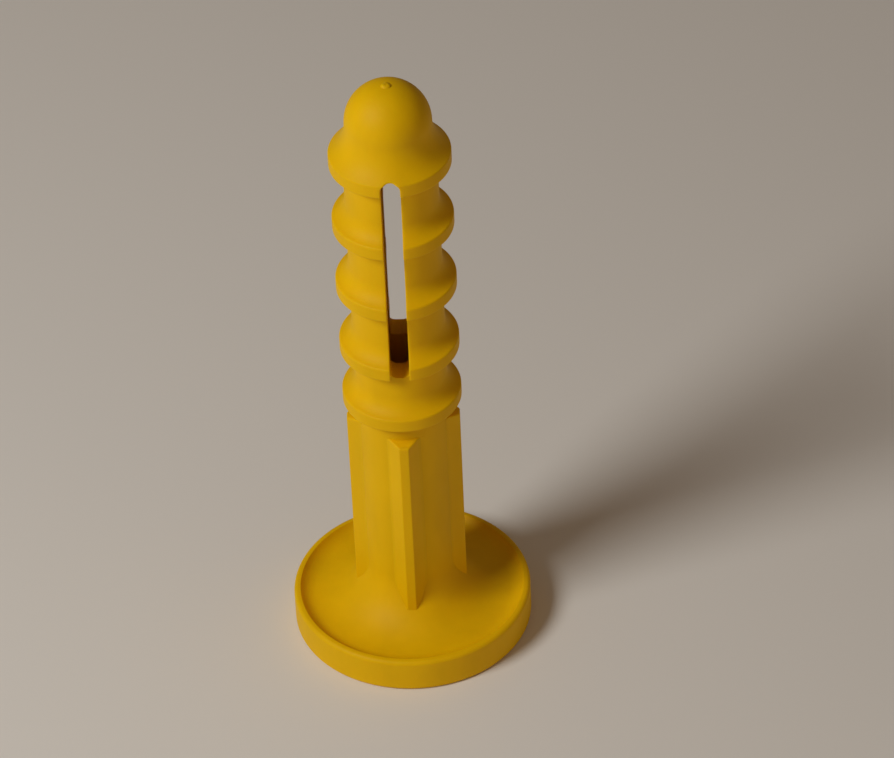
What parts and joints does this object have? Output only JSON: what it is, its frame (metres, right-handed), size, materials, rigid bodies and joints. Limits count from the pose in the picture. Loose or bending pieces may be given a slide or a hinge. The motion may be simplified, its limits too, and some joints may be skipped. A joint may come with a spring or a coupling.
{
  "type": "wall anchor",
  "caption": "Slotted plastic wall plug with a wide dished washer head, ribbed sleeve and barbed legs that bow outwards to grip the hole when a screw is driven.",
  "frame": {"origin": "centre of the head's outer face, on the bore's axis", "axes": "+Z along the bore from the head to the nose, +X to the right leg, -Y to the front where the slot opens"},
  "size_m": [0.0226, 0.0226, 0.0626],
  "materials": {
    "moulded_plastic": "yellow polyethylene, satin from the mould"
  },
  "bodies": {
    "shank": {"head_disc": "moulded_plastic", "face_bars": "moulded_plastic", "sleeve": "moulded_plastic", "rib_front": "moulded_plastic", "rib_right": "moulded_plastic", "rib_back": "moulded_plastic", "rib_left": "moulded_plastic", "collar_barb": "moulded_plastic"},
    "left_lower": {"left_leg_lower": "moulded_plastic", "left_barb_low": "moulded_plastic", "left_barb_mid": "moulded_plastic"},
    "left_upper": {"left_leg_upper": "moulded_plastic", "left_barb_high": "moulded_plastic"},
    "right_lower": {"right_leg_lower": "moulded_plastic", "right_barb_low": "moulded_plastic", "right_barb_mid": "moulded_plastic"},
    "right_upper": {"right_leg_upper": "moulded_plastic", "right_barb_high": "moulded_plastic"},
    "nose": {"nose_bell": "moulded_plastic", "nose_dome": "moulded_plastic", "gate_mark": "moulded_plastic"}
  },
  "joints": [
    {"name": "left_leg_bow", "type": "hinge", "parent": "shank", "child": "left_lower", "pos_m": [-0.0023, 0, 0.03263], "axis": [0, -1, 0], "range_deg": [0, 5], "stiffness_Nm_per_rad": 0.03},
    {"name": "left_leg_knee", "type": "hinge", "parent": "left_lower", "child": "left_upper", "pos_m": [-0.0023, 0, 0.04323], "axis": [0, 1, 0], "range_deg": [0, 10]},
    {"name": "nose_follow", "type": "hinge", "parent": "left_upper", "child": "nose", "pos_m": [-0.0023, 0, 0.05383], "axis": [0, -1, 0], "range_deg": [0, 5]},
    {"name": "right_leg_bow", "type": "hinge", "parent": "shank", "child": "right_lower", "pos_m": [0.0023, 0, 0.03263], "axis": [0, 1, 0], "range_deg": [0, 5]},
    {"name": "right_leg_knee", "type": "hinge", "parent": "right_lower", "child": "right_upper", "pos_m": [0.0023, 0, 0.04323], "axis": [0, -1, 0], "range_deg": [0, 10]}
  ],
  "couplings": [
    {"joint": "left_leg_knee", "follows": "left_leg_bow", "ratio": 2},
    {"joint": "nose_follow", "follows": "left_leg_bow", "ratio": 1},
    {"joint": "right_leg_bow", "follows": "left_leg_bow", "ratio": 1},
    {"joint": "right_leg_knee", "follows": "left_leg_bow", "ratio": 2}
  ]
}
